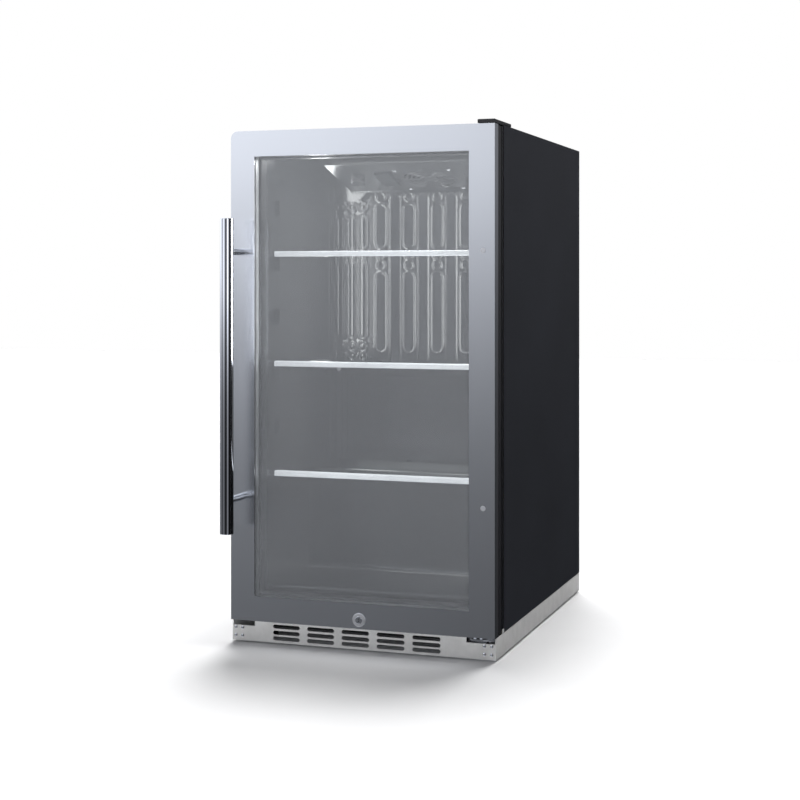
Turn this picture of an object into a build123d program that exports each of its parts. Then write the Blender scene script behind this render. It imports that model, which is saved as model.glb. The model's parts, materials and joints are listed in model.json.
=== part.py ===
"""Undercounter refrigerator with a framed glass door, as separate pieces.

Millimetres.  +X is to the right as seen from the front, +Y goes back, +Z is up.
The origin is on the floor, under the middle of the overall box (handle included).
Depths are given as distances behind the door's face, and turned into Y by behind().
"""
from build123d import *
import math
import os

os.makedirs("parts", exist_ok=True)

# ---------------------------------------------------------------- driving dimensions
cabinet_width = 450.0
body_depth = 600.0          # door face to the cabinet's rear edge
handle_reach = 67.5         # door face to the front of the handle
foot_gap = 3.0              # floor to the underside of the base
base_top = 36.0
cabinet_low = 37.0
cabinet_high = 842.0
door_low = 37.5
door_high = 840.0
door_thickness = 43.0
cabinet_face = 55.0         # the cabinet's front, where the gasket seals
sheet = 1.0                 # painted and stainless sheet steel

window_half = 183.0
window_low = 78.0
window_high = 798.0

liner_half = 195.0
liner_wall = 2.0
liner_floor = 80.0
liner_ceiling = 809.0
liner_rear = 485.0
hump_front = 262.0          # the step in the floor that covers the compressor
hump_top = 261.0
bay_front = 300.0
bay_top = 222.0
rear_skin = 562.0

ledge_first = 266.0         # top of the lowest shelf ledge
ledge_pitch = 93.0
ledge_count = 6
ledge_reach = 10.0
shelf_half = 189.0
shelf_front = 95.0
shelf_rear = 360.0

hinge_x = 213.0
hinge_depth = 20.0
pin_radius = 4.0
running_gap = 0.06

handle_x = -206.0
handle_middle = 441.0
handle_length = 508.0
handle_radius = 11.0
post_spacing = 402.0
post_radius = 5.5

lock_height = 52.0
plate_depth = 380.0         # front of the embossed plate behind the shelves
foot_x = 190.0
foot_depths = (72.0, 560.0)

# ---------------------------------------------------------------- worked-out places
half_width = cabinet_width / 2
door_face = -(body_depth - handle_reach) / 2
ledge_tops = [ledge_first + ledge_pitch * level for level in range(ledge_count)]
shelf_seats = {"lower": ledge_tops[0], "middle": ledge_tops[2], "upper": ledge_tops[4]}
post_heights = [handle_middle - post_spacing / 2, handle_middle + post_spacing / 2]


def behind(distance):
    """Y of the plane that lies this far behind the door's face."""
    return door_face + distance


def block(x, depth, z, mode=Mode.ADD):
    """A box in the part being built; each span is (low, high), depth behind the door's face."""
    middle = ((x[0] + x[1]) / 2, behind((depth[0] + depth[1]) / 2), (z[0] + z[1]) / 2)
    with Locations(middle):
        Box(x[1] - x[0], depth[1] - depth[0], z[1] - z[0], mode=mode)


def rod(x, z, depth, radius, mode=Mode.ADD):
    """A cylinder that runs front to back in the part being built."""
    with Locations(Location((x, behind((depth[0] + depth[1]) / 2), z), (90, 0, 0))):
        Cylinder(radius, depth[1] - depth[0], mode=mode)


def post(x, depth, z, radius, mode=Mode.ADD):
    """An upright cylinder in the part being built."""
    with Locations((x, behind(depth), (z[0] + z[1]) / 2)):
        Cylinder(radius, z[1] - z[0], mode=mode)


def facing_front(depth):
    """A sketch plane parallel to the door, with x to the right, y up and z towards the front."""
    return Plane(origin=(0, behind(depth), 0), x_dir=(1, 0, 0), z_dir=(0, -1, 0))


def save(piece, label):
    """Label a finished piece and write it as a STEP file."""
    piece.part.label = label
    export_step(piece.part, f"parts/{label}.step")


# ================================================================ cabinet shell
wrap_flange = 14.0
with BuildPart() as outer_wrap:
    inside = half_width - sheet
    block((-half_width, half_width), (cabinet_face, body_depth), (cabinet_low, cabinet_high))
    long_edges = outer_wrap.edges().filter_by(Axis.Y).group_by(Axis.Z)[-1]
    fillet(long_edges, 1.5)
    block((-inside, inside), (0, body_depth + 1), (0, cabinet_high - sheet), mode=Mode.SUBTRACT)
    for side in (-1, 1):
        edge = sorted((side * inside, side * (inside - wrap_flange)))
        block(edge, (body_depth - sheet, body_depth), (cabinet_low, cabinet_high - sheet))
    top_edge = (cabinet_high - sheet - wrap_flange, cabinet_high - sheet)
    block((-inside, inside), (body_depth - sheet, body_depth), top_edge)
save(outer_wrap, "outer_wrap")

rear_rib_height = 460.0
with BuildPart() as rear_panel:
    panel_half = half_width - sheet - 0.5
    block((-panel_half, panel_half), (rear_skin, rear_skin + sheet), (bay_top, cabinet_high - sheet))
    with BuildSketch(Plane.XZ.offset(-behind(rear_skin + sheet))):
        rib_middle = (bay_top + cabinet_high) / 2
        with Locations((0, rib_middle)):
            with GridLocations(80, 0, 5, 1):
                SlotOverall(rear_rib_height, 22, rotation=90)
    extrude(amount=-3, taper=20)
save(rear_panel, "rear_panel")

with BuildPart() as bay_partition:
    block((-223.4, 223.4), (bay_front, bay_front + 1.2), (base_top, bay_top))
    block((-223.4, 223.4), (bay_front, body_depth - 4), (bay_top - 1.2, bay_top))
    post(-60, 425, (bay_top - 2, bay_top + 1), 5.4, mode=Mode.SUBTRACT)
    post(140, 545, (bay_top - 2, bay_top + 1), 3.6, mode=Mode.SUBTRACT)
save(bay_partition, "bay_partition")


def side_outline(growth):
    """The storage space seen from the side, its walls moved outward by the growth."""
    floor = liner_floor - growth
    step = hump_top - growth
    wall = behind(hump_front + growth)
    rear = behind(liner_rear + growth)
    ceiling = liner_ceiling + growth
    front = behind(cabinet_face)
    with BuildSketch(Plane.YZ) as outline:
        with BuildLine():
            Polyline((front, floor), (wall, floor), (wall, step), (rear, step),
                     (rear, ceiling), (front, ceiling), close=True)
        make_face()
        inner_corners = outline.vertices().filter_by(lambda corner: corner.Y > front + 1)
        fillet(inner_corners, 12)
    return outline.sketch


def ledge_outline(top):
    """A shelf ledge seen from the side: a flat runner with a nose that turns down in front."""
    nose = behind(110)
    with BuildSketch(Plane.YZ) as outline:
        with BuildLine():
            Polyline((nose + 22, top - 6), (behind(362), top - 6), (behind(362), top), (nose, top),
                     (nose, top - 26), (nose + 8, top - 26))
            RadiusArc((nose + 8, top - 26), (nose + 22, top - 6), 30)
        make_face()
    return outline.sketch


floor_ribs = [-149.0, -61.0, 27.0, 115.0]
with BuildPart() as inner_liner:
    extrude(side_outline(liner_wall), amount=liner_half + liner_wall, both=True)
    block((-223.4, 223.4), (cabinet_face, cabinet_face + liner_wall), (cabinet_low + 1, cabinet_high - 1.4))
    extrude(side_outline(0), amount=liner_half, both=True, mode=Mode.SUBTRACT)
    for side in (-1, 1):
        for top in ledge_tops:
            runner = ledge_outline(top).moved(Location((side * (liner_half + 0.5), 0, 0)))
            extrude(runner, amount=-side * (ledge_reach + 0.5))
        stile = sorted((side * 190, side * (liner_half + 0.5)))
        tooth = sorted((side * 184.5, side * (liner_half + 0.5)))
        block(stile, (362, 374), (hump_top - 1, 790))
        for top in ledge_tops:
            block(tooth, (362, 370), (top + 8, top + 44))
    for x in floor_ribs:
        block((x - 8, x + 8), (74, 196), (liner_floor - 1, liner_floor + 1.6))
    post(-60, 425, (hump_top - 8, hump_top + 4), 5.4, mode=Mode.SUBTRACT)
    rod(140, 650, (liner_rear - 5, liner_rear + 6), 3.6, mode=Mode.SUBTRACT)
save(inner_liner, "inner_liner")

with BuildPart() as foam_insulation:
    block((-223.4, 223.4), (57, 561.8), (cabinet_low, 840.6))
    extrude(side_outline(liner_wall), amount=liner_half + liner_wall, both=True, mode=Mode.SUBTRACT)
    block((-224, 224), (bay_front - 0.2, 562), (cabinet_low - 1, bay_top + 0.2), mode=Mode.SUBTRACT)
    post(-60, 425, (bay_top - 2, hump_top + 2), 5.4, mode=Mode.SUBTRACT)
    post(140, 545, (bay_top - 2, 653.2), 3.6, mode=Mode.SUBTRACT)
    rod(140, 650, (liner_rear, 548), 3.6, mode=Mode.SUBTRACT)
    block((136.4, 143.6), (528, 549), (632, 653.6), mode=Mode.SUBTRACT)
save(foam_insulation, "foam_insulation")

# ================================================================ base
base_sheet = 1.5
kick_front = 6.4
kick_back = kick_front + base_sheet
vent_pitch = 60.0
vent_first = -129.0
vent_heights = (10.2, 19.6, 29.5)
screw_places = [(side * x, z) for side in (-1, 1) for x in (206.5, 218.5) for z in (11.5, 24.5)]
with BuildPart() as kickplate:
    block((-half_width, half_width), (kick_front, kick_back), (foot_gap, base_top))
    block((-226, -185), (0, 20), (28, base_top + 1), mode=Mode.SUBTRACT)
    block((177, 226), (0, 20), (28, base_top + 1), mode=Mode.SUBTRACT)
    with BuildSketch(facing_front(kick_front)):
        vents = [(vent_first + vent_pitch * group, z) for group in range(5) for z in vent_heights]
        with Locations(vents):
            SlotOverall(47, 6.6)
        with Locations(screw_places):
            Circle(1.6)
    extrude(amount=-base_sheet, mode=Mode.SUBTRACT)
save(kickplate, "kickplate")

with BuildPart() as base_sides:
    for side in (-1, 1):
        plate = sorted((side * (half_width - base_sheet), side * half_width))
        flange = sorted((side * 202, side * (half_width - base_sheet)))
        block(plate, (kick_back, 598), (foot_gap, base_top))
        block(plate, (48, cabinet_face - 0.2), (base_top - 1, 43))
        block(flange, (kick_back, kick_back + base_sheet), (foot_gap, 27.5))
    for x, z in screw_places:
        rod(x, z, (0, 20), 1.6, mode=Mode.SUBTRACT)
save(base_sides, "base_sides")

with BuildPart() as base_pan:
    block((-223.2, 223.2), (40, 596), (34.8, base_top))
    block((-170, 170), (40, 41.2), (22, 35))
    block((-223.2, 223.2), (594.8, 596), (5, 35))
    block((-26, 26), (43.4, 51), (34, 37), mode=Mode.SUBTRACT)
    with BuildSketch(Plane.XY.offset(34)):
        with Locations((-125, behind(342))):
            with GridLocations(16, 0, 9, 1):
                SlotOverall(60, 7, rotation=90)
    extrude(amount=4, mode=Mode.SUBTRACT)
    for depth in foot_depths:
        for side in (-1, 1):
            post(side * foot_x, depth, (34, 37), 6.5, mode=Mode.SUBTRACT)
save(base_pan, "base_pan")

with BuildPart() as foot_sockets:
    for depth in foot_depths:
        for side in (-1, 1):
            post(side * foot_x, depth, (31.6, 34.6), 15)
            post(side * foot_x, depth, (19, 31.6), 9)
            post(side * foot_x, depth, (18, 36), 5 + running_gap, mode=Mode.SUBTRACT)
save(foot_sockets, "foot_sockets")

foot_names = {(-1, 0): "foot_front_left", (1, 0): "foot_front_right",
              (-1, 1): "foot_rear_left", (1, 1): "foot_rear_right"}
for (side, row), foot_name in foot_names.items():
    with BuildPart() as foot:
        with BuildSketch(Plane.XZ):
            with BuildLine():
                Polyline((0, 0), (16, 0), (18, 2), (18, 5), (14, 8), (5, 8), (5, 33), (4, 34), (0, 34), close=True)
            make_face()
        revolve(axis=Axis.Z)
    foot.part.position = (side * foot_x, behind(foot_depths[row]), 0)
    save(foot, foot_name)

# ================================================================ hinges
with BuildPart() as bottom_hinge_bracket:
    with BuildSketch(Plane.XY.offset(31.6)):
        with BuildLine():
            Polyline((181, behind(39)), (181, behind(12)), (187, behind(4)), (205, behind(4)),
                     (hinge_x, behind(8)), (222, behind(8)), (222, behind(39)), close=True)
        make_face()
        with Locations((hinge_x, behind(hinge_depth))):
            Circle(pin_radius, mode=Mode.SUBTRACT)
        with Locations((190, behind(13)), (200, behind(13))):
            Circle(2.2, mode=Mode.SUBTRACT)
    extrude(amount=3)
    block((181, 201), (36, 39), (8, 32))
    for x in (190, 200):
        with Locations(Location((x, behind(13), 32.8))):
            Cylinder(2.2, 2.4)
        with BuildSketch(Plane.XY.offset(34.6)):
            with Locations((x, behind(13))):
                RegularPolygon(3.8, 6)
        extrude(amount=2.2)
save(bottom_hinge_bracket, "bottom_hinge_bracket")

with BuildPart() as hinge_pins:
    post(hinge_x, hinge_depth, (29, 56), pin_radius - 0.01)
    post(hinge_x, hinge_depth, (34.7, 36.9), 7)
    post(hinge_x, hinge_depth, (822, 844.4), pin_radius - 0.01)
    lower_tip = hinge_pins.edges().filter_by(GeomType.CIRCLE).group_by(Axis.Z)
    chamfer(lower_tip[0], 1)
save(hinge_pins, "hinge_pins")

cap_top = 847.0
with BuildPart() as top_hinge_plate:
    with BuildSketch(Plane.XY.offset(cabinet_high + 0.02)):
        with BuildLine():
            Polyline((201, behind(90)), (201, behind(22)), (206, behind(9)), (220, behind(9)),
                     (223, behind(22)), (223, behind(90)), close=True)
        make_face()
        with Locations((hinge_x, behind(hinge_depth))):
            Circle(pin_radius, mode=Mode.SUBTRACT)
        with Locations((212, behind(68)), (212, behind(82))):
            Circle(2.2, mode=Mode.SUBTRACT)
    extrude(amount=2.5)
save(top_hinge_plate, "top_hinge_plate")

with BuildPart() as top_hinge_cover:
    block((197, half_width), (0.6, 98), (cabinet_high + 0.02, cap_top))
    block((197, half_width), (0.6, cabinet_face - 1), (door_high + 0.9, cabinet_high + 1))
    outer_rims = top_hinge_cover.edges().group_by(Axis.Z)[-1]
    fillet(outer_rims, 1.2)
    block((199, 223.6), (4, 95), (door_high, cabinet_high + 2.7), mode=Mode.SUBTRACT)
save(top_hinge_cover, "top_hinge_cover")

# ================================================================ door
handle_holes = [(handle_x, z) for z in post_heights]
spare_holes = [(-handle_x, z) for z in post_heights]
skin_return = 20.0
corner_round = 12.0


def door_outline(inset, depth):
    """The door's outline, drawn in by an inset; its top corner on the handle side is rounded."""
    with BuildSketch(facing_front(depth)) as outline:
        with Locations((0, (door_low + door_high) / 2)):
            Rectangle(cabinet_width - 2 * inset, door_high - door_low - 2 * inset)
        corner = outline.vertices().sort_by_distance((-half_width, door_high, 0))[0]
        fillet(corner, corner_round - inset)
    return outline.sketch


with BuildPart() as door_skin:
    extrude(door_outline(0, 0), amount=-skin_return)
    extrude(door_outline(sheet, sheet), amount=-skin_return, mode=Mode.SUBTRACT)
    block((-window_half, window_half), (-1, 5), (window_low, window_high), mode=Mode.SUBTRACT)
    with BuildSketch(facing_front(0)):
        with Locations(handle_holes + spare_holes):
            Circle(2.8)
        with Locations((0, lock_height)):
            Circle(9.6)
    extrude(amount=-2, mode=Mode.SUBTRACT)
    post(hinge_x, hinge_depth, (door_low - 1, door_high + 1), 6.3, mode=Mode.SUBTRACT)
save(door_skin, "door_skin")

glass_margin = 10.0         # how far the glass unit reaches behind the window's edge
glass_front = 1.2
glass_back = 21.2
pane = 4.0
frame_lip = 180.0
with BuildPart() as door_frame:
    extrude(door_outline(1.1, 1.1), amount=-(door_thickness - 1.1))
    rebate = window_half + glass_margin + 0.2
    rebate_z = (window_low - glass_margin - 0.2, window_high + glass_margin + 0.2)
    block((-rebate, rebate), (0, glass_back + 0.2), rebate_z, mode=Mode.SUBTRACT)
    block((-frame_lip, frame_lip), (0, 60), (window_low + 3, window_high - 3), mode=Mode.SUBTRACT)
    for x, z in handle_holes:
        rod(x, z, (0, 44), 2.8, mode=Mode.SUBTRACT)
        rod(x, z, (36, 44), 5.2, mode=Mode.SUBTRACT)
    for x, z in spare_holes:
        rod(x, z, (0, 12), 2.8, mode=Mode.SUBTRACT)
    rod(0, lock_height, (0, 44), 9.6, mode=Mode.SUBTRACT)
    for z in ((door_low, 58), (820, door_high)):
        post(hinge_x, hinge_depth, z, 6.02, mode=Mode.SUBTRACT)
    with BuildSketch(facing_front(door_thickness)):
        with Locations((0, (door_low + door_high) / 2)):
            Rectangle(408, 760)
            Rectangle(400, 752, mode=Mode.SUBTRACT)
    extrude(amount=2, mode=Mode.SUBTRACT)
save(door_frame, "door_frame")

with BuildPart() as glass_panes:
    pane_half = window_half + glass_margin
    pane_z = (window_low - glass_margin, window_high + glass_margin)
    block((-pane_half, pane_half), (glass_front, glass_front + pane), pane_z)
    block((-pane_half, pane_half), (glass_back - pane, glass_back), pane_z)
save(glass_panes, "glass_panes")

with BuildPart() as glass_spacer:
    block((-192, 192), (glass_front + pane, glass_back - pane), (window_low - 9, window_high + 9))
    block((-window_half, window_half), (0, 40), (window_low, window_high), mode=Mode.SUBTRACT)
save(glass_spacer, "glass_spacer")


gasket_low = 64.0
gasket_high = 820.0
gasket_layers = [(210, 14, (door_thickness, 45.5)), (208, 10, (45.5, 50.5)), (211, 15, (50.5, 54.6))]
with BuildPart() as gasket:
    for reach, width, depth in gasket_layers:
        height = (gasket_low + 210 - reach, gasket_high - 210 + reach)
        block((-reach, reach), depth, height)
    for reach, width, depth in gasket_layers:
        height = (gasket_low + 210 - reach + width, gasket_high - 210 + reach - width)
        block((width - reach, reach - width), depth, height, mode=Mode.SUBTRACT)
save(gasket, "gasket")

handle_axis = -(handle_reach - handle_radius)
with BuildPart() as handle_bar:
    handle_ends = (handle_middle - handle_length / 2, handle_middle + handle_length / 2)
    post(handle_x, handle_axis, handle_ends, handle_radius)
    fillet(handle_bar.edges().filter_by(GeomType.CIRCLE), 1.2)
save(handle_bar, "handle_bar")

with BuildPart() as handle_posts:
    for x, z in handle_holes:
        rod(x, z, (handle_axis + 2, -0.02), post_radius)
    post(handle_x, handle_axis, handle_ends, handle_radius + 0.02, mode=Mode.SUBTRACT)
    for x, z in handle_holes:
        rod(x, z, (-24, 1), 2.56, mode=Mode.SUBTRACT)
save(handle_posts, "handle_posts")

with BuildPart() as handle_screws:
    for x, z in handle_holes:
        rod(x, z, (-22, 38), 2.5)
        rod(x, z, (36, 40), 4.8)
        rod(x, z, (38.5, 41), 2.0, mode=Mode.SUBTRACT)
save(handle_screws, "handle_screws")

with BuildPart() as hole_plugs:
    for x, z in spare_holes:
        rod(x, z, (-0.9, -0.02), 4.2)
        rod(x, z, (-0.9, 8), 2.7)
    fillet(hole_plugs.edges().filter_by(GeomType.CIRCLE).group_by(Axis.Y)[0], 0.6)
save(hole_plugs, "hole_plugs")

with BuildPart() as hinge_bushes:
    for z in ((door_low + sheet + 0.2, 57), (821, door_high - sheet - 0.2)):
        post(hinge_x, hinge_depth, z, 6)
        post(hinge_x, hinge_depth, (z[0] - 1, z[1] + 1), pin_radius + running_gap, mode=Mode.SUBTRACT)
save(hinge_bushes, "hinge_bushes")

with BuildPart() as lock_housing:
    rod(0, lock_height, (-2, -0.02), 11)
    rod(0, lock_height, (-0.02, 43.5), 9.5)
    fillet(lock_housing.edges().filter_by(GeomType.CIRCLE).group_by(Axis.Y)[0], 1.2)
    rod(0, lock_height, (-3, 45), 6 + running_gap, mode=Mode.SUBTRACT)
save(lock_housing, "lock_housing")

with BuildPart() as lock_plug:
    rod(0, lock_height, (-2.6, 44.6), 6)
    fillet(lock_plug.edges().filter_by(GeomType.CIRCLE).group_by(Axis.Y)[0], 0.6)
    rod(0, lock_height, (-3, -1.6), 2.6, mode=Mode.SUBTRACT)
    block((-0.7, 0.7), (-3, 8), (lock_height - 3.6, lock_height + 3.6), mode=Mode.SUBTRACT)
    block((-3.2, 3.2), (44.6, 47), (lock_height - 3.2, lock_height + 3.2))
save(lock_plug, "lock_plug")

with BuildPart() as lock_cam:
    with BuildSketch(facing_front(44.7)):
        with Locations((8.5, lock_height)):
            SlotOverall(33, 15)
        with Locations((0, lock_height)):
            Rectangle(6.5, 6.5, mode=Mode.SUBTRACT)
    extrude(amount=-2.2)
save(lock_cam, "lock_cam")

# ================================================================ shelves
trim_depth = 12.0
for shelf_name, seat in shelf_seats.items():
    with BuildPart() as shelf_glass:
        block((-shelf_half, shelf_half), (shelf_front + 2, shelf_rear), (seat, seat + 4))
    save(shelf_glass, f"shelf_glass_{shelf_name}")
    with BuildPart() as shelf_trim:
        block((-shelf_half, shelf_half), (shelf_front, shelf_front + trim_depth), (seat - 2.5, seat + 6.5))
        front_edges = shelf_trim.edges().filter_by(Axis.X).group_by(Axis.Y)[0]
        fillet(front_edges, 3)
        block((-shelf_half - 1, shelf_half + 1), (shelf_front + 2, 200), (seat, seat + 4), mode=Mode.SUBTRACT)
    save(shelf_trim, f"shelf_trim_{shelf_name}")

# ================================================================ behind the shelves
plate_low = 437.0
plate_half = 192.5
narrow_columns = [-176.0, -155.5, -135.0]
wide_columns = [-98.0, -44.0, 10.0, 64.0, 118.0, 172.0]
emboss = 1.6
with BuildPart() as evaporator_plate:
    block((-plate_half, plate_half), (plate_depth, plate_depth + 2.5), (plate_low, 806))
    block((-130, 165), (370, 390), (774, 800), mode=Mode.SUBTRACT)
    with BuildSketch(facing_front(plate_depth)):
        with Locations([(x, z) for x in narrow_columns for z in (731, 642, 472, 458)]):
            Circle(6.4)
        with Locations([(x, 686.5) for x in narrow_columns]):
            SlotOverall(67, 18, rotation=90)
        with Locations([(x, 558.5) for x in narrow_columns]):
            SlotOverall(145, 18, rotation=90)
        with Locations([(x, z) for x in wide_columns for z in (749, 641, 622)]):
            Circle(8)
        with Locations([(x, 695.5) for x in wide_columns]):
            SlotOverall(83, 18, rotation=90)
        with Locations([(x, 536) for x in wide_columns]):
            SlotOverall(148, 18, rotation=90)
    extrude(amount=emboss)
save(evaporator_plate, "evaporator_plate")

with BuildPart() as drip_gutter:
    block((-190, 190), (377, 440), (424.2, 436.8))
    block((-188.5, 188.5), (378.5, 438.5), (425.7, 440), mode=Mode.SUBTRACT)
    post(-60, 425, (420, 430), 5.4, mode=Mode.SUBTRACT)
save(drip_gutter, "drip_gutter")

with BuildPart() as lower_back_panel:
    block((-plate_half, plate_half), (396, 398), (hump_top + 1, 423.8))
    with BuildSketch(facing_front(396)):
        with BuildLine():
            Polyline((-156, 418), (-146, 266), (190, 266), (190, 418), close=True)
        make_face()
        with Locations((-183, 342), (-172, 342)):
            Rectangle(3, 152)
    extrude(amount=4)
save(lower_back_panel, "lower_back_panel")

coil_heights = [580.0 + 25 * row for row in range(7)]
coil_depths = (408.0, 428.0)
with BuildPart() as evaporator_coil:
    for fin in range(20):
        x = -142.5 + 15 * fin
        block((x - 0.4, x + 0.4), (396, 440), (567, 743))
    for z in coil_heights:
        for depth in coil_depths:
            with Locations(Location((0, behind(depth), z), (0, 90, 0))):
                Cylinder(4, 310)
    for row, z in enumerate(coil_heights[:-1]):
        end = 155 if row % 2 else -155
        for depth in coil_depths:
            with BuildSketch(Plane(origin=(end, behind(depth), z), x_dir=(0, 1, 0), z_dir=(1, 0, 0))):
                Circle(4)
            turn = Axis((end, behind(depth), z + 12.5), (0, 1, 0))
            revolve(axis=turn, revolution_arc=180 if end > 0 else -180)
save(evaporator_coil, "evaporator_coil")

# ================================================================ fan cover under the ceiling
cover_front = 235.0
cover_back = 379.0
cover_left = -155.0
cover_right = 184.0
cover_front_low = 799.0
cover_back_low = 760.0
fan_x = 15.0
slope_run = cover_back - 8 - cover_front
slope = math.atan2(cover_front_low - cover_back_low, slope_run)
fan_run = 86.0              # distance down the slope from the front lip to the fan's middle


def under_cover(x, run, lift=0.0):
    """A plane on the cover's sloping underside, facing down and forward; lift goes up into the cover."""
    depth = cover_front + run * math.cos(slope) + lift * math.sin(slope)
    height = cover_front_low - run * math.sin(slope) + lift * math.cos(slope)
    facing = (0, -math.sin(slope), -math.cos(slope))
    return Plane(origin=(x, behind(depth), height), x_dir=(1, 0, 0), z_dir=facing)


def cover_outline(inset):
    """The fan cover seen from the side; the inset is the wall's thickness."""
    with BuildSketch(Plane.YZ.offset(cover_left + inset)) as outline:
        with BuildLine():
            rise = 1.2 * inset
            Polyline((behind(cover_front + inset), 808.8 + inset), (behind(cover_front + inset), cover_front_low + rise),
                     (behind(cover_back - 8 - 0.3 * inset), cover_back_low + rise),
                     (behind(cover_back - inset), cover_back_low + rise),
                     (behind(cover_back - inset), 808.8 + inset), close=True)
        make_face()
    return outline.sketch


fan_corners = [(x, y) for x in (-50, 50) for y in (-48, 48)]
knob_plane = under_cover(-118, 78)
lens_plane = under_cover(-62, 78)
with BuildPart() as fan_cover:
    extrude(cover_outline(0), amount=cover_right - cover_left)
    block((cover_left, cover_right), (cover_back - 8, cover_back), (cover_back_low - 3, cover_back_low + 6))
    extrude(cover_outline(2), amount=cover_right - cover_left - 4, mode=Mode.SUBTRACT)
    block((-125, 160), (370, 385), (776, 798), mode=Mode.SUBTRACT)
    with BuildSketch(under_cover(fan_x, fan_run, -1)):
        for radius in (46, 38, 30, 22, 14):
            Circle(radius)
            Circle(radius - 4.5, mode=Mode.SUBTRACT)
        with PolarLocations(0, 4, angular_range=180):
            Rectangle(100, 3, mode=Mode.SUBTRACT)
    extrude(amount=-6, mode=Mode.SUBTRACT)
    with BuildSketch(under_cover(fan_x, fan_run, -1)):
        with Locations(fan_corners):
            Circle(1.7)
    extrude(amount=-6, mode=Mode.SUBTRACT)
    with BuildSketch(knob_plane):
        Circle(3.3)
    extrude(amount=-8, both=True, mode=Mode.SUBTRACT)
save(fan_cover, "fan_cover")

with BuildPart() as light_lens:
    with BuildSketch(lens_plane):
        RectangleRounded(32, 62, 4)
    extrude(amount=3)
    fillet(light_lens.faces().sort_by(Axis.Z)[0].edges(), 1.2)
save(light_lens, "light_lens")

with BuildPart() as thermostat_body:
    with BuildSketch(under_cover(-118, 78, 3.2)):
        RectangleRounded(40, 30, 2)
    extrude(amount=-13)
    with BuildSketch(under_cover(-118, 78, 3.2)):
        Circle(3)
    extrude(amount=8.1)
save(thermostat_body, "thermostat_body")

with BuildPart() as thermostat_knob:
    with BuildSketch(under_cover(-118, 78, -0.5)):
        Circle(13)
    extrude(amount=8, taper=6)
    fillet(thermostat_knob.faces().sort_by(Axis.Z)[0].edges(), 1)
    with BuildSketch(under_cover(-118, 78, 0)):
        Circle(3 + running_gap)
    extrude(amount=6, mode=Mode.SUBTRACT)
    with BuildSketch(under_cover(-118, 78, -9.5)):
        with Locations((0, 8)):
            Rectangle(1.6, 8)
    extrude(amount=-2, mode=Mode.SUBTRACT)
save(thermostat_knob, "thermostat_knob")

fan_place = under_cover(fan_x, fan_run, 6).location
with BuildPart() as evaporator_fan:
    with Locations(fan_place):
        Cylinder(19, 5)
        with PolarLocations(32, 9):
            Box(28, 13, 1.1, rotation=(18, 0, 0))
        Cylinder(1.5 + running_gap, 8, mode=Mode.SUBTRACT)
save(evaporator_fan, "evaporator_fan")

with BuildPart() as evaporator_fan_motor:
    with BuildSketch(under_cover(fan_x, fan_run, 9.6)):
        Circle(17)
    extrude(amount=-10)
    with BuildSketch(under_cover(fan_x, fan_run, 9.6)):
        for angle in (1, -1):
            with Locations(Location((0, 0), angle * math.degrees(math.atan2(48, 50)))):
                Rectangle(2 * math.hypot(50, 48), 5)
    extrude(amount=-1.8)
    with BuildSketch(under_cover(fan_x, fan_run, 3.2)):
        with Locations(fan_corners):
            Circle(3.6)
    extrude(amount=-8)
    with BuildSketch(under_cover(fan_x, fan_run, 3)):
        Circle(1.5)
    extrude(amount=-8)
    with BuildSketch(under_cover(fan_x, fan_run, 0)):
        with Locations(fan_corners):
            Circle(1.7)
    extrude(amount=-8, mode=Mode.SUBTRACT)
save(evaporator_fan_motor, "evaporator_fan_motor")

plate_screw_places = [(-181.0, 768.0), (-162.0, 750.0)]
with BuildPart() as interior_screws:
    with BuildSketch(under_cover(fan_x, fan_run, -0.02)):
        with Locations(fan_corners):
            Circle(3.6)
    extrude(amount=1.6)
    with BuildSketch(under_cover(fan_x, fan_run, -0.1)):
        with Locations(fan_corners):
            Circle(1.5)
    extrude(amount=-7.5)
    for x, z in plate_screw_places:
        rod(x, z, (plate_depth - 2.2, plate_depth - 0.02), 4.2)
    for x in (-181, 181):
        rod(x, 430.5, (375, 376.98), 4.2)
save(interior_screws, "interior_screws")

# ================================================================ compressor bay
compressor_x = 95.0
compressor_depth = 470.0
with BuildPart() as compressor:
    with BuildSketch(Plane.XY.offset(50)):
        with Locations((compressor_x, behind(compressor_depth))):
            Ellipse(76, 60)
    extrude(amount=136)
    fillet(compressor.edges().group_by(Axis.Z)[0], 22)
    fillet(compressor.edges().group_by(Axis.Z)[-1], 26)
    with BuildSketch(Plane.XY.offset(112)):
        with Locations((compressor_x, behind(compressor_depth))):
            Ellipse(79, 63)
    extrude(amount=4)
    feet = ((compressor_x - 88, compressor_x + 88), (compressor_depth - 40, compressor_depth + 40), (45, 51))
    block(*feet)
    with Locations((compressor_x, behind(compressor_depth), 48)):
        with GridLocations(158, 64, 2, 2):
            Cylinder(5.2, 10, mode=Mode.SUBTRACT)
save(compressor, "compressor")

with BuildPart() as compressor_grommets:
    with Locations((compressor_x, behind(compressor_depth), 40.5)):
        with GridLocations(158, 64, 2, 2):
            Cylinder(9, 8.9)
    with Locations((compressor_x, behind(compressor_depth), 48)):
        with GridLocations(158, 64, 2, 2):
            Cylinder(5, 8)
    with Locations((compressor_x, behind(compressor_depth), 52.6)):
        with GridLocations(158, 64, 2, 2):
            Cylinder(8, 3)
save(compressor_grommets, "compressor_grommets")

with BuildPart() as relay_box:
    block((178, 206), (448, 496), (70, 130))
    fillet(relay_box.edges().filter_by(Axis.Z), 4)
save(relay_box, "relay_box")

condenser_middle = (-125.0, 124.0)
with BuildPart() as condenser_coil:
    for fin in range(18):
        x = -210 + 10 * fin
        block((x - 0.5, x + 0.5), (322, 362), (44, 204))
    for row in range(6):
        for depth in (332, 352):
            with Locations(Location((-125, behind(depth), 56.5 + 27 * row), (0, 90, 0))):
                Cylinder(3.5, 174)
save(condenser_coil, "condenser_coil")

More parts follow.
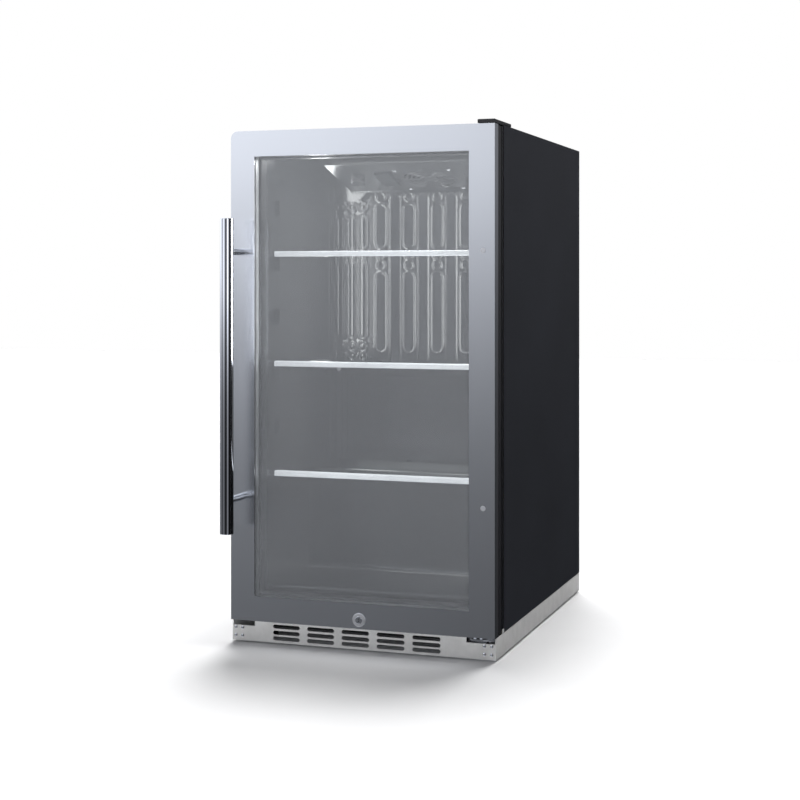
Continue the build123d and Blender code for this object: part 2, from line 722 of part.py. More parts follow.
with BuildPart() as condenser_shroud:
    block((-212, -38), (362.5, 366), (44, 204))
    block((-212, -38), (366, 388), (44, 204))
    block((-209, -41), (367, 389), (47, 201), mode=Mode.SUBTRACT)
    rod(*condenser_middle, (360, 392), 66, mode=Mode.SUBTRACT)
    for side in (-1, 1):
        for level in (-1, 1):
            x = condenser_middle[0] + side * 74
            rod(x, condenser_middle[1] + level * 68, (366, 388), 5)
save(condenser_shroud, "condenser_shroud")

with BuildPart() as condenser_fan:
    fan_middle = Location((condenser_middle[0], behind(374), condenser_middle[1]), (90, 0, 0))
    with Locations(fan_middle):
        Cylinder(20, 14)
        with PolarLocations(40, 5):
            Box(44, 34, 1.4, rotation=(22, 0, 0))
        Cylinder(2.5 + running_gap, 20, mode=Mode.SUBTRACT)
save(condenser_fan, "condenser_fan")

with BuildPart() as condenser_fan_motor:
    rod(*condenser_middle, (392, 430), 27)
    rod(*condenser_middle, (369, 393), 2.5)
    with BuildSketch(facing_front(389)):
        with Locations(condenser_middle):
            for angle in (1, -1):
                with Locations(Location((0, 0), angle * math.degrees(math.atan2(68, 74)))):
                    Rectangle(2 * math.hypot(74, 68) + 8, 9)
    extrude(amount=-3.5)
save(condenser_fan_motor, "condenser_fan_motor")

with BuildPart() as drain_pan:
    block((-140, 15), (396, 470), (194, 214))
    block((-138.5, 13.5), (397.5, 468.5), (195.5, 215), mode=Mode.SUBTRACT)
save(drain_pan, "drain_pan")

with BuildPart() as drain_tube:
    post(-60, 425, (202, 428), 5.2)
    post(-60, 425, (201, 429), 3.8, mode=Mode.SUBTRACT)
save(drain_tube, "drain_tube")


def tube(corners, bend, radius):
    """A round tube along straight runs joined by bends, in the part being built."""
    points = [(x, behind(depth), z) for x, depth, z in corners]
    route = FilletPolyline(*points, radius=bend, mode=Mode.PRIVATE)
    start = Plane(origin=route @ 0, z_dir=route % 0)
    return sweep(start * Circle(radius, mode=Mode.PRIVATE), path=route, mode=Mode.PRIVATE)


suction_route = [(140, 522, 140), (140, 545, 140), (140, 545, 650), (140, 444.5, 650)]
discharge_route = [(15, 470, 80), (-22, 470, 80), (-22, 341, 80), (-37.5, 341, 80)]
suction_line = tube(suction_route, 12, 3.2)
discharge_line = tube(discharge_route, 8, 2.4)
with BuildPart() as refrigerant_lines:
    add(suction_line)
    add(discharge_line)
save(refrigerant_lines, "refrigerant_lines")

inlet_x = -150.0
inlet_height = 70.0
with BuildPart() as bay_cover:
    block((-208, 208), (597, 598.2), (38, 221))
    with BuildSketch(facing_front(597)):
        with Locations((0, 150)):
            with GridLocations(24, 46, 15, 3):
                SlotOverall(38, 7, rotation=90)
        with Locations((inlet_x, inlet_height)):
            Rectangle(28.4, 21)
        with Locations((70, inlet_height)):
            with GridLocations(24, 0, 6, 1):
                SlotOverall(38, 7, rotation=90)
    extrude(amount=-2, mode=Mode.SUBTRACT)
save(bay_cover, "bay_cover")

with BuildPart() as power_inlet:
    block((inlet_x - 14, inlet_x + 14), (580, 598.4), (inlet_height - 10.3, inlet_height + 10.3))
    block((inlet_x - 25, inlet_x + 25), (598.4, 599.8), (inlet_height - 12, inlet_height + 12))
    block((inlet_x - 12, inlet_x + 12), (584, 601), (inlet_height - 8, inlet_height + 8), mode=Mode.SUBTRACT)
    for x, z in ((-7, -2), (0, 2), (7, -2)):
        block((inlet_x + x - 1, inlet_x + x + 1), (583, 597), (inlet_height + z - 2.5, inlet_height + z + 2.5))
save(power_inlet, "power_inlet")

rear_screws = [(x, z) for x in (-215, 215) for z in (250, 440, 630, 820)]
with BuildPart() as cabinet_screws:
    for x, z in rear_screws:
        rod(x, z, (rear_skin + sheet + 0.02, rear_skin + sheet + 2.2), 4)
    for x in (-200, 200):
        for z in (48, 210):
            rod(x, z, (598.22, 599.9), 4)
    for x, z in screw_places:
        rod(x, z, (kick_front - 1.6, kick_front - 0.02), 2.6)
        rod(x, z, (kick_front - 0.1, 14), 1.4)
    for depth in (68, 82):
        post(212, depth, (842.1, 844.4), 2.1)
save(cabinet_screws, "cabinet_screws")
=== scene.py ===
# %% [markdown]
# # An undercounter refrigerator, dressed for its portrait
#
# The frame that comes in first is the engineering model: every panel, hinge and screw is already
# where it belongs and rides on the body that moves it. This lesson gives those pieces their
# finishes, and remakes the few whose beauty is in a soft curve: the pressed plate behind the
# shelves, the glass, the gasket, the handle and the screw heads. Units are metres.

# %% Load the frame
import json
import math
import bmesh
import bpy
import numpy as np
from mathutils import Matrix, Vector


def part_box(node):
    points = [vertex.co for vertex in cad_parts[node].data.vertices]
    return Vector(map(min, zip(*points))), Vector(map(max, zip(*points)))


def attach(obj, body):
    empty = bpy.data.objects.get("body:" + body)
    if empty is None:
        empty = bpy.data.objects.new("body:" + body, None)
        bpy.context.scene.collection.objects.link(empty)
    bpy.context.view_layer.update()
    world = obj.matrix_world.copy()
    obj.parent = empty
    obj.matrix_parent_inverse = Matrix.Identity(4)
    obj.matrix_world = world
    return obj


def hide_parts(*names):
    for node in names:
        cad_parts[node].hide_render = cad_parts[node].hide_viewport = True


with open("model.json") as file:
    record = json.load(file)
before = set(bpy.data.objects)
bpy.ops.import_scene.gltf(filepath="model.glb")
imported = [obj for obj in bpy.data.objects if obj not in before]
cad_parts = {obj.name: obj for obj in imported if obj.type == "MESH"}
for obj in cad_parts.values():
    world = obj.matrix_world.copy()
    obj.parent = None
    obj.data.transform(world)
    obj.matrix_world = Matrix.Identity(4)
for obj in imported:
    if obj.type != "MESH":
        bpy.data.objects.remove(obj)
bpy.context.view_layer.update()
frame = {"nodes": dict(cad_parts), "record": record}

nodes = frame["nodes"]
MM = 0.001

# %% [markdown]
# ## The places that the other cells use
#
# The main places are read from the frame, so a change to the model moves most of the looks with it.
# The beads of the pressed plate and the lamps are the exception: their heights are plain numbers. The
# door's face is the front of its steel skin, and the lamps' depths are counted back from there.


# %% Where the main pieces are
def corners(name):
    """The lowest and highest corner of a node's box."""
    return tuple(Vector(corner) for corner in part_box(name))


door_face = corners("door_skin")[0].y
cabinet_top = corners("outer_wrap")[1].z
print("door face at y =", round(door_face, 4), "and cabinet top at z =", round(cabinet_top, 4))

# %% [markdown]
# ## Camera
#
# The usual catalogue view: the camera stands at the height of the door's upper half, level, so that
# upright edges stay upright, and it is turned to see the front and a slice of the side. A level
# camera looks over a low object, so the lens is shifted down, as on an architect's view camera.

# %% Stand the camera
camera_data = bpy.data.cameras.new("camera")
camera_data.lens = 71.04
camera_data.sensor_width = 36.0
camera_data.shift_y = -0.151
camera_data.clip_end = 60.0
camera = bpy.data.objects.new("camera", camera_data)
camera.location = (0.8857, door_face - 2.3657, 0.5971)
camera.rotation_euler = (math.radians(90), 0, math.radians(19.04))
bpy.context.scene.collection.objects.link(camera)
bpy.context.scene.camera = camera
bpy.context.scene.view_settings.view_transform = "Standard"

# %% [markdown]
# ## Shader maths as plain sums
#
# A node tree is easier to read as a formula. A Wire is the output of one node: adding or scaling it
# adds the Math node that does so. A Finish is one material, and its node method makes any other
# node from its type, its settings and what goes into its sockets.


# %% Wires and finishes
class Wire:
    """A node's output. Arithmetic on it adds Math nodes."""

    def __init__(self, finish, socket):
        self.finish = finish
        self.socket = socket

    def sum(self, operation, first, second):
        return self.finish.node("ShaderNodeMath", {"operation": operation}, {0: first, 1: second})

    def __add__(self, other):
        return self.sum("ADD", self, other)

    def __radd__(self, other):
        return self.sum("ADD", other, self)

    def __mul__(self, other):
        return self.sum("MULTIPLY", self, other)


class Finish:
    """A node tree under construction: a material's, or the world's."""

    def __init__(self, name, tree=None):
        if tree is None:
            self.material = bpy.data.materials.new(name)
            self.material.use_nodes = True
            tree = self.material.node_tree
        self.tree = tree
        self.tree.nodes.clear()

    def node(self, kind, settings=None, inputs=None, output=0):
        made = self.tree.nodes.new(kind)
        for key, value in (settings or {}).items():
            if key == "stops":
                ramp = made.color_ramp
                while len(ramp.elements) < len(value):
                    ramp.elements.new(0.5)
                for stop, (place, colour) in zip(ramp.elements, value):
                    stop.position = place
                    stop.color = colour if len(colour) == 4 else (*colour, 1.0)
            else:
                setattr(made, key, value)
        for key, value in (inputs or {}).items():
            if isinstance(value, Wire):
                self.tree.links.new(value.socket, made.inputs[key])
            else:
                made.inputs[key].default_value = value
        return Wire(self, made.outputs[output]) if made.outputs else None

    def place(self, stretch=(1, 1, 1)):
        """Object coordinates in metres, stretched along each axis."""
        where = self.node("ShaderNodeTexCoord", output="Object")
        return self.node("ShaderNodeMapping", inputs={"Vector": where, "Scale": stretch})

    def noise(self, where, scale, detail=2.0, roughness=0.5):
        return self.node("ShaderNodeTexNoise", inputs={
            "Vector": where, "Scale": scale, "Detail": detail, "Roughness": roughness})

    def ramp(self, factor, *stops):
        return self.node("ShaderNodeValToRGB", {"stops": stops}, {"Fac": factor})

    def bump(self, height, distance, strength=1.0, soft=0.0):
        """Fine relief; a soft radius also rounds the shading of every sharp edge."""
        inputs = {"Height": height, "Distance": distance, "Strength": strength}
        if soft:
            inputs["Normal"] = self.node("ShaderNodeBevel", {"samples": 6}, {"Radius": soft})
        return self.node("ShaderNodeBump", inputs=inputs)

    def surface(self, **sockets):
        """The Principled shader; underscores in a name stand for spaces."""
        inputs = {key.replace("_", " "): value for key, value in sockets.items()}
        return self.node("ShaderNodeBsdfPrincipled", inputs=inputs, output="BSDF")

    def finish(self, shader):
        self.node("ShaderNodeOutputMaterial", inputs={"Surface": shader})
        return self.material


print("shader maths ready")

# %% [markdown]
# ## Metals
#
# Sheet steel for a door is brushed one way, and the grain is what makes it look like steel and not
# like chrome. A noise that is stretched far along the grain gives the lines. They change the
# roughness more than the colour, and a shallow bump lets them catch light. Each line is a tiny groove
# that spreads a highlight crosswise, which the stretch of the door's steel stands for. The handle is
# the same steel, but turned and polished, so its lines run round it and are finer.


# %% Brushed and plain metals
def brushed(name, colour, grain, roughness, spread, depth, stretch=0.0):
    """Steel with a grain: its scale is small along the lines and large across them."""
    steel = Finish(name)
    lines = steel.noise(steel.place(grain), 1.0, 3.0, 0.6)
    clouds = steel.noise(steel.place((3, 3, 3)), 1.0, 2.0)
    tone = steel.ramp(lines * 0.6 + clouds * 0.4, (0.25, [c * 0.90 for c in colour]), (0.75, colour))
    rough = lines * spread + (roughness - spread * 0.5)
    return steel.finish(steel.surface(Base_Color=tone, Metallic=1.0, Roughness=rough,
                                      Anisotropic=stretch, Normal=steel.bump(lines, depth)))


def plated(name, colour, roughness, metallic=1.0):
    """Bright or cast metal: a faint cloudiness from handling, and fine pits."""
    metal = Finish(name)
    smears = metal.noise(metal.place((40, 40, 40)), 1.0, 4.0, 0.6)
    pits = metal.noise(metal.place((900, 900, 900)), 1.0, 2.0)
    tone = metal.ramp(smears, (0.3, [c * 0.86 for c in colour]), (0.7, colour))
    rough = smears * 0.12 + (roughness - 0.06)
    return metal.finish(metal.surface(Base_Color=tone, Metallic=metallic, Roughness=rough,
                                      Normal=metal.bump(pits, 0.00002)))


door_steel = brushed("door_steel", (0.76, 0.78, 0.82), (1500, 1500, 9), 0.23, 0.06, 0.000002, 0.8)
tube_steel = brushed("tube_steel", (0.66, 0.68, 0.73), (260, 260, 1700), 0.09, 0.04, 0.000001)
polished = plated("polished_steel", (0.72, 0.74, 0.78), 0.14)
zinc = plated("zinc_plate", (0.74, 0.75, 0.78), 0.24)
bare_aluminium = plated("aluminium", (0.66, 0.67, 0.69), 0.36)
copper_tube = plated("copper_tube", (0.74, 0.36, 0.20), 0.25)
base_steel = plated("base_steel", (0.82, 0.815, 0.80), 0.42, 0.15)
satin_nickel = plated("satin_nickel", (0.70, 0.71, 0.74), 0.26, 0.6)
print("metals:", door_steel.name, tube_steel.name, polished.name, zinc.name)

# %% [markdown]
# ## Paint and coatings
#
# The cabinet wears a black powder coat: baked dust, so it is never quite flat. Under a lamp it
# shows a fine orange-peel texture. Galvanised sheet has spangles, the crystals that zinc grows as
# it sets; a Voronoi pattern with a random shade per cell is just that.


# %% Coated sheet
def powder_coat(name, colour, roughness):
    coat = Finish(name)
    peel = coat.noise(coat.place((700, 700, 700)), 1.0, 3.0, 0.55)
    drift = coat.noise(coat.place((5, 5, 5)), 1.0, 3.0)
    tone = coat.ramp(drift * 0.7 + peel * 0.3,
                     (0.3, [c * 0.8 for c in colour]), (0.7, [c * 1.15 for c in colour]))
    rough = peel * 0.10 + (roughness - 0.05)
    relief = coat.bump(peel, 0.00006, 0.6)
    return coat.finish(coat.surface(Base_Color=tone, Roughness=rough, Normal=relief))


def spangled(name, colour):
    zinc_sheet = Finish(name)
    cell = zinc_sheet.node("ShaderNodeTexVoronoi", {"feature": "F1"},
                           {"Vector": zinc_sheet.place((110, 110, 110)), "Scale": 1.0}, "Color")
    shade = zinc_sheet.node("ShaderNodeSeparateColor", inputs={"Color": cell})
    tone = zinc_sheet.ramp(shade, (0.0, [c * 0.78 for c in colour]), (1.0, colour))
    rough = shade * 0.16 + 0.34
    return zinc_sheet.finish(zinc_sheet.surface(Base_Color=tone, Metallic=0.85, Roughness=rough))


black_coat = powder_coat("black_powder_coat", (0.0185, 0.0205, 0.0285), 0.50)
enamel = powder_coat("black_enamel", (0.012, 0.012, 0.014), 0.25)
galvanised = spangled("galvanised_sheet", (0.50, 0.51, 0.52))
print("coatings:", black_coat.name, enamel.name, galvanised.name)

# %% [markdown]
# ## Plastics, rubber and foam
#
# The liner is pulled from one hot glossy sheet over a mould, so it is smooth and a little wavy. The
# small mouldings come from spark-eroded tools, with a fine even grain that takes the shine off. The
# white trims carry a painted glow, an emission though they are no lamp, so that they stay white
# behind the grey veil of the door's glass.


# %% Mouldings
def moulded(name, colour, roughness, grain=900.0, depth=0.00004, wave=0.0, painted_glow=0.0, ior=1.5,
            soft=0.0):
    plastic = Finish(name)
    fine = plastic.noise(plastic.place((grain, grain, grain)), 1.0, 2.0)
    slow = plastic.noise(plastic.place((14, 14, 14)), 1.0, 2.0)
    tone = plastic.ramp(slow,
                        (0.3, [c * 0.88 for c in colour]), (0.7, [c * 1.06 for c in colour]))
    rough = fine * 0.08 + (roughness - 0.04)
    relief = plastic.bump(fine * depth + slow * wave, 1.0, soft=soft)
    # The emission strength is a painted glow: it makes a part shine as if lit, though it is no lamp.
    return plastic.finish(plastic.surface(
        Base_Color=tone, Roughness=rough, IOR=ior, Emission_Color=tone, Emission_Strength=painted_glow,
        Normal=relief))


liner_gloss = moulded("liner_gloss", (0.009, 0.0094, 0.011), 0.20, grain=350.0, depth=0.000002,
                      wave=0.0002, ior=1.8, soft=0.0028)
black_moulding = moulded("black_moulding", (0.014, 0.014, 0.016), 0.36, soft=0.0012)
cover_gloss = moulded("cover_gloss", (0.010, 0.0105, 0.012), 0.24, depth=0.000004, ior=1.8,
                      soft=0.004)
grey_moulding = moulded("grey_moulding", (0.26, 0.26, 0.27), 0.5)
rubber = moulded("gasket_rubber", (0.022, 0.022, 0.024), 0.62, grain=500.0)
# The white trims carry a painted glow (emission 1.45), so they stay white behind the grey veil of the
# door's glass.
white_trim_painted_glow = moulded("white_trim", (0.62, 0.635, 0.665), 0.3, depth=0.000004, painted_glow=1.45)
foam_finish = moulded("foam", (0.78, 0.70, 0.44), 0.9, grain=300.0, depth=0.0004)
print("mouldings:", liner_gloss.name, black_moulding.name, rubber.name)

# %% [markdown]
# ## Glass
#
# A refraction shader throws dark shadows through a window, so the panes mix a see-through shader
# with a glossy one by their Fresnel reflection. The outer pane carries a faint grey haze, the
# coating that keeps heat out: a share of the light stops there and comes back as an even veil.


# %% Panes
def clear_pane(name, tint, haze, haze_colour=(0.4, 0.4, 0.4), mirror=0.8):
    glass = Finish(name)
    through = glass.node("ShaderNodeBsdfTransparent", inputs={"Color": (*tint, 1.0)})
    smudge = glass.noise(glass.place((9, 9, 5)), 1.0, 4.0, 0.6)
    shine = glass.node("ShaderNodeBsdfGlossy",
                       inputs={"Color": (1, 1, 1, 1), "Roughness": smudge * 0.05 + 0.02})
    rim = glass.node("ShaderNodeFresnel", inputs={"IOR": 1.45})
    pane = glass.node("ShaderNodeMixShader", inputs={0: rim * mirror, 1: through, 2: shine})
    if haze:
        shade = glass.ramp(smudge, (0.3, [c * 0.985 for c in haze_colour]), (0.7, haze_colour))
        veil = glass.surface(Base_Color=shade, Roughness=0.6, Specular_IOR_Level=0.0)
        pane = glass.node("ShaderNodeMixShader", inputs={0: haze + smudge * 0.004, 1: pane, 2: veil})
    return glass.finish(pane)


outer_glass_finish = clear_pane("outer_glass", (0.97, 0.98, 0.98), 0.28, (0.325, 0.337, 0.358))
inner_glass_finish = clear_pane("inner_glass", (0.98, 0.985, 0.985), 0)
shelf_glass_finish = clear_pane("shelf_glass", (0.955, 0.975, 0.97), 0, mirror=0.03)
lens_finish = moulded("lamp_lens", (0.02, 0.021, 0.023), 0.5, ior=1.25)
print("panes:", outer_glass_finish.name, shelf_glass_finish.name)

# %% [markdown]
# ## Dress the frame
#
# The record names a material slot for each node, so one table from slot to finish dresses them all,
# and a few nodes then take a finish of their own.

# %% A finish for every node
slot_finish = {
    "black_steel": black_coat, "stainless": door_steel, "base_steel": base_steel,
    "galvanised": galvanised, "black_plastic": black_moulding, "liner_plastic": liner_gloss,
    "foam": foam_finish, "glass": shelf_glass_finish, "white_trim": white_trim_painted_glow,
    "gasket_rubber": rubber, "polished_steel": polished, "zinc_screws": zinc,
    "aluminium": bare_aluminium, "copper": copper_tube, "compressor_paint": enamel,
    "grey_plastic": grey_moulding, "lens": lens_finish,
}
node_slot = {entry["node"]: entry["material_slot"] for entry in frame["record"]["subparts"]}


def dress(piece, finish):
    """Give a piece one finish all over."""
    piece.data.materials.clear()
    piece.data.materials.append(finish)


for name, piece in nodes.items():
    dress(piece, slot_finish[node_slot[name]])
own_finish = {"handle_bar": tube_steel, "base_pan": enamel, "lock_housing": satin_nickel,
              "lock_plug": polished, "fan_cover": cover_gloss, "hole_plugs": satin_nickel}
for name, finish in own_finish.items():
    dress(nodes[name], finish)
print("dressed", len(nodes), "nodes in", len(slot_finish), "finishes")

# %% [markdown]
# ## Making pieces from mesh code
#
# Two helpers make most of the new pieces. One builds a mesh piece and hangs it on the body that
# moves it; the other makes a turned piece, an outline spun round an axis, as on a lathe. The gasket,
# an outline swept round a rectangle as gasket is welded into a frame, is swept in its own cell.


# %% Helpers for new pieces
def add_piece(name, points, faces, body, finish, stands_for=(), slot=None, smooth=True):
    """A mesh piece in the row frame that rides on a body and may stand for CAD nodes."""
    mesh = bpy.data.meshes.new(name)
    mesh.from_pydata([tuple(p) for p in points], [], [tuple(f) for f in faces])
    tidy = bmesh.new()
    tidy.from_mesh(mesh)
    bmesh.ops.recalc_face_normals(tidy, faces=tidy.faces)
    tidy.to_mesh(mesh)
    tidy.free()
    piece = bpy.data.objects.new(name, mesh)
    bpy.context.scene.collection.objects.link(piece)
    for polygon in mesh.polygons:
        polygon.use_smooth = smooth
    dress(piece, finish)
    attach(piece, body)
    if stands_for:
        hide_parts(*stands_for)
    return piece


def turned(outline, start, axis, steps=64):
    """Points and faces of an outline of (radius, distance) spun round an axis from a start point."""
    axis = Vector(axis).normalized()
    side = axis.orthogonal().normalized()
    across = axis.cross(side)
    points = []
    faces = []
    for radius, along in outline:
        for step in range(steps):
            turn = 2 * math.pi * step / steps
            outward = side * math.cos(turn) + across * math.sin(turn)
            points.append(Vector(start) + axis * along + outward * radius)
    for row in range(len(outline) - 1):
        for step in range(steps):
            following = (step + 1) % steps
            faces.append((row * steps + step, row * steps + following,
                          (row + 1) * steps + following, (row + 1) * steps + step))
    faces.append(tuple(range(steps)))
    faces.append(tuple((len(outline) - 1) * steps + step for step in range(steps)))
    return points, faces


def joined(parts):
    """Several (points, faces) in one list."""
    points = []
    faces = []
    for more_points, more_faces in parts:
        offset = len(points)
        points += more_points
        faces += [tuple(index + offset for index in face) for face in more_faces]
    return points, faces


def rounded_end(radius, edge, start, stop, turns=5):
    """The outline of a rod with a rounded rim at each end."""
    curve = [math.pi / 2 * step / turns for step in range(turns + 1)]
    first = [(radius - edge + edge * math.sin(a), start + edge - edge * math.cos(a)) for a in curve]
    last = [(radius - edge + edge * math.cos(a), stop - edge + edge * math.sin(a)) for a in curve]
    return first + last


print("mesh helpers ready")

# %% [markdown]
# ## Handle
#
# A straight tube on two posts. The tube's ends are closed with a disc that is pressed in and
# polished flush, so each end shows a small rounded rim.

# %% Turn the handle
bar_low, bar_high = corners("handle_bar")
bar_radius = (bar_high.x - bar_low.x) / 2
bar_middle = (bar_low + bar_high) / 2
bar_length = bar_high.z - bar_low.z
bar_rim = 1.2 * MM
bar_outline = rounded_end(bar_radius, bar_rim, 0, bar_length)
add_piece("handle_tube", *turned(bar_outline, (bar_middle.x, bar_middle.y, bar_low.z), (0, 0, 1), 96),
          "door", tube_steel, ("handle_bar",), "stainless")
print("handle:", round(bar_length, 3), "long,", round(bar_radius * 2, 4), "across")

# %% [markdown]
# ## Screw heads
#
# The frame's screws are plain discs on a shank. A real head is a low dome with a cross pressed into
# it, and the dome is what catches a point of light. Each screw is found as a separate island of its
# node, its head's face is the part that lies furthest out, and a new head is made on that face.


# %% Helpers for heads
def islands(name):
    """The corner points of each separate solid in a node."""
    node = nodes[name]
    welded = bmesh.new()
    welded.from_mesh(node.data)
    bmesh.ops.remove_doubles(welded, verts=welded.verts, dist=1e-6)
    unseen = set(welded.verts)
    found = []
    while unseen:
        group = []
        queue = [unseen.pop()]
        while queue:
            vertex = queue.pop()
            group.append(node.matrix_world @ vertex.co)
            for edge in vertex.link_edges:
                other = edge.other_vert(vertex)
                if other in unseen:
                    unseen.remove(other)
                    queue.append(other)
        found.append(group)
    welded.free()
    return found


def headed(place, axis, radius, rings=14, steps=48):
    """A low dome with a cross recess; its top is at the place, facing along the axis."""
    axis = Vector(axis).normalized()
    side = (Vector((1, 0, 0)) - axis * axis.x).normalized()
    across = axis.cross(side)
    dome, recess = 0.22 * radius, 0.30 * radius
    points = [Vector(place) - axis * recess]
    for ring in range(1, rings + 1):
        reach = ring / rings
        for step in range(steps):
            turn = 2 * math.pi * step / steps
            u, v = reach * math.cos(turn), reach * math.sin(turn)
            in_cross = min(abs(u), abs(v)) < 0.13 and max(abs(u), abs(v)) < 0.55
            down = dome * reach ** 2 + (recess if in_cross else 0)
            points.append(Vector(place) + (side * u + across * v) * radius - axis * down)
    points += [point - axis * 0.5 * MM for point in points[-steps:]]
    faces = [(0, 1 + step, 1 + (step + 1) % steps) for step in range(steps)]
    for ring in range(rings):
        for step in range(steps):
            a, b = 1 + ring * steps + step, 1 + ring * steps + (step + 1) % steps
            faces.append((a, a + steps, b + steps, b))
    faces.append(tuple(range(1 + rings * steps, 1 + (rings + 1) * steps)))
    return points, faces


def new_heads(name, piece_name, finish, facing):
    """One piece with a head for each screw of a node; facing gives an axis from a screw's middle."""
    heads = []
    for group in islands(name):
        axis = Vector(facing(sum(group, Vector()) / len(group))).normalized()
        outermost = max(point.dot(axis) for point in group)
        rim = [point for point in group if point.dot(axis) > outermost - 0.05 * MM]
        place = sum(rim, Vector()) / len(rim)
        radius = max((point - place).length for point in rim)
        heads.append(headed(place, axis, radius))
    piece = add_piece(piece_name, *joined(heads), "cabinet", finish, (name,), "zinc_screws")
    piece.data.set_sharp_from_angle(angle=math.radians(38))
    print(piece_name, "has", len(heads), "heads")


# %% Make the heads
cover_slope = math.atan2(39, 136)   # the fan cover's underside rises 39 mm over 136 mm
under_cover = (0, -math.sin(cover_slope), -math.cos(cover_slope))
plate_screws_from = door_face + 0.37
hinge_screws_from = 0.84
new_heads("interior_screws", "inside_screws", satin_nickel,
          lambda middle: (0, -1, 0) if middle.y > plate_screws_from else under_cover)
new_heads("cabinet_screws", "outside_screws", zinc,
          lambda middle: (0, 0, 1) if middle.z > hinge_screws_from else (0, -1 if middle.y < 0 else 1, 0))

# %% [markdown]
# ## The pressed plate behind the shelves
#
# One sheet of plastic, pressed between two tools: rows of long beads with rounded ends, round dots
# between them, and broad upright ribs. Modelling each bead would take hundreds of fillets. A height
# for each point of a grid gives all of them at once, and every edge comes out soft, as in pressing.

# %% Heights of the beads, dots and ribs
plate_low, plate_high = corners("evaporator_plate")
plate_step = 1.3 * MM
columns = int((plate_high.x - plate_low.x) / plate_step)
rows = int((plate_high.z - plate_low.z) / plate_step)
across, upward = np.meshgrid(np.linspace(plate_low.x, plate_high.x, columns + 1),
                             np.linspace(plate_low.z, plate_high.z, rows + 1))
relief_depth = 2.3 * MM


def soft_step(distance, width):
    """0 below minus the width, 1 above it, and a smooth rise between."""
    t = np.clip(distance / (2 * width) + 0.5, 0, 1)
    return t * t * (3 - 2 * t)


def bead(x, low, high, half):
    """How far each grid point is inside an upright bead with round ends."""
    nearest = np.clip(upward, low + half, high - half)
    return half - np.hypot(across - x, upward - nearest)


relief = np.zeros_like(across)
narrow = [(-176 + 20.5 * k) * MM for k in range(3)]
wide = [(-98 + 54 * k) * MM for k in range(6)]
narrow_half, wide_half, rib_half = 8.6 * MM, 11.5 * MM, 10.5 * MM
narrow_spans = ((0.722, 0.740), (0.6525, 0.7165), (0.633, 0.651), (0.486, 0.631), (0.463, 0.481),
                (0.446, 0.461))
wide_spans = ((0.740, 0.757), (0.654, 0.736), (0.633, 0.650), (0.614, 0.631), (0.462, 0.610))
rib_span = (0.438, 0.757)
for x in narrow:
    for low, high in narrow_spans:
        inside = bead(x, low, high, min(narrow_half, (high - low) / 2))
        rim = np.exp(-(inside / (1.5 * MM)) ** 2)
        relief = np.maximum(relief, rim)
        relief = np.maximum(relief, 0.75 * soft_step(inside - 4.5 * MM, 2.5 * MM))
for x in wide:
    for low, high in wide_spans:
        inside = bead(x, low, high, min(wide_half, (high - low) / 2))
        relief = np.maximum(relief, np.exp(-(inside / (1.4 * MM)) ** 2))
for x in [place + 27 * MM for place in wide[:-1]]:
    relief = np.maximum(relief, soft_step(bead(x, *rib_span, rib_half), 1.3 * MM))
shoulder_line = 0.752 + 0.012 * np.tanh((across + 0.126) / 0.010)
shoulder = soft_step(upward - shoulder_line, 5 * MM) * soft_step(-0.112 - across, 6 * MM)
relief = np.maximum(relief, shoulder)
border = soft_step(-0.1872 - across, 1.5 * MM)
relief = np.maximum(relief, border)
print("pressed relief on a grid of", relief.shape, "and", len(narrow) + len(wide), "columns of beads")

# %% Build the plate as a closed sheet with its air window
plate_front = plate_low.y + 1.6 * MM
window_left, window_right = -0.130, 0.165
window_bottom, window_top = 0.774, 0.800
keep = np.ones((rows, columns), bool)
cell_x = (across[:-1, :-1] + across[1:, 1:]) / 2
cell_z = (upward[:-1, :-1] + upward[1:, 1:]) / 2
keep &= ~((cell_x > window_left) & (cell_x < window_right)
          & (cell_z > window_bottom) & (cell_z < window_top))
front = np.stack([across, plate_front - relief * relief_depth, upward], -1).reshape(-1, 3)
back = np.stack([across, np.full_like(across, plate_high.y), upward], -1).reshape(-1, 3)
stride = columns + 1
count = len(front)
plate_faces = []
for row, column in zip(*np.nonzero(keep)):
    corner = row * stride + column
    quad = (corner, corner + 1, corner + 1 + stride, corner + stride)
    plate_faces.append(quad)
    plate_faces.append(tuple(index + count for index in reversed(quad)))
    for outside, (a, b) in (
            (row == 0 or not keep[row - 1, column], (quad[1], quad[0])),
            (row == rows - 1 or not keep[row + 1, column], (quad[3], quad[2])),
            (column == 0 or not keep[row, column - 1], (quad[0], quad[3])),
            (column == columns - 1 or not keep[row, column + 1], (quad[2], quad[1]))):
        if outside:
            plate_faces.append((a, b, b + count, a + count))
used = sorted({index for face in plate_faces for index in face})
renumber = {old: new for new, old in enumerate(used)}
plate_points = np.vstack([front, back])[used]
plate_faces = [tuple(renumber[int(index)] for index in face) for face in plate_faces]
plate = add_piece("pressed_plate", plate_points.tolist(), plate_faces, "cabinet", liner_gloss,
                  ("evaporator_plate",), "liner_plastic")
plate.data.set_sharp_from_angle(angle=math.radians(40))
print("pressed plate:", len(plate_points), "points")

# %% [markdown]
# ## Door glass
#
# Two panes with a spacer between them make one sealed unit. A pane's edge is ground to a small
# bevel, which a flat box lacks, so each pane is a slab with its four long rims cut back.


# %% Cut the panes
def slab(low, high, cut):
    """A flat pane, thin along Y, whose rims are bevelled by the cut."""
    points = []
    for y, inset in ((low.y, cut), (low.y + cut, 0), (high.y - cut, 0), (high.y, cut)):
        for x, z in ((low.x + inset, low.z + inset), (high.x - inset, low.z + inset),
                     (high.x - inset, high.z - inset), (low.x + inset, high.z - inset)):
            points.append((x, y, z))
    faces = [(0, 1, 2, 3), (15, 14, 13, 12)]
    for layer in range(3):
        for side in range(4):
            following = (side + 1) % 4
            faces.append((layer * 4 + side, layer * 4 + following,
                          layer * 4 + 4 + following, layer * 4 + 4 + side))
    return points, faces


